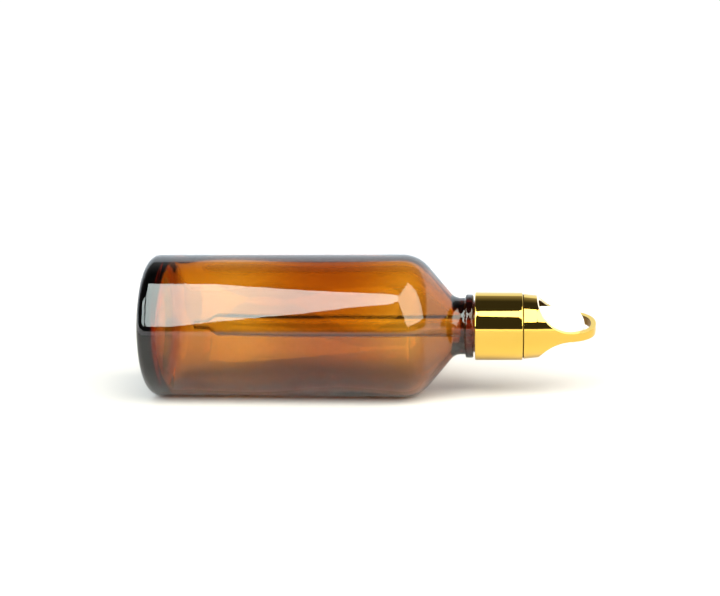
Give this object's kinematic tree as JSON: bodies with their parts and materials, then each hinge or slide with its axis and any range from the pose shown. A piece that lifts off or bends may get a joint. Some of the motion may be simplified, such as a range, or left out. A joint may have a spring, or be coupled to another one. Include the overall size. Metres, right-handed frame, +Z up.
{
  "type": "dropper bottle",
  "caption": "Upright amber glass bottle with a gold screw cap, a clear pipette, and a white squeeze bulb under an arched gold guard.",
  "frame": {"origin": "centre of the base, on the plane the bottle stands on", "axes": "+Z up along the bottle's axis, from the base to the cap; the guard's two legs stand at +Y and -Y and its openings face +X and -X"},
  "size_m": [0.0446, 0.0446, 0.1389],
  "materials": {
    "amber_glass": "clear amber glass, fire polished",
    "clear_glass": "clear glass",
    "white_rubber": "smooth satin",
    "white_plastic": "moulded, satin",
    "gold": "mirror-polished gold plating"
  },
  "bodies": {
    "bottle": {"glass_bottle": "amber_glass"},
    "dropper": {"pipette": "clear_glass"},
    "cap": {"inner_cap": "white_plastic", "cap_shell": "gold", "arch_guard": "gold"},
    "bulb": {"rubber_bulb": "white_rubber"}
  },
  "joints": [
    {"name": "dropper_lift", "type": "slide", "parent": "bottle", "child": "dropper", "axis": [0, 0, 1], "range_m": [0, 0.105]},
    {"name": "cap_turn", "type": "hinge", "parent": "dropper", "child": "cap", "pos_m": [0, 0, 0.109], "axis": [0, 0, 1], "range_deg": [0, 12600]},
    {"name": "bulb_squeeze", "type": "slide", "parent": "cap", "child": "bulb", "axis": [-1, 0, 0], "range_m": [0, 0.003], "stiffness_N_per_m": 400, "deforming": ["rubber_bulb"]}
  ],
  "couplings": [
    {"joint": "cap_turn", "follows": "dropper_lift", "rad_per_m": 2094.4}
  ]
}
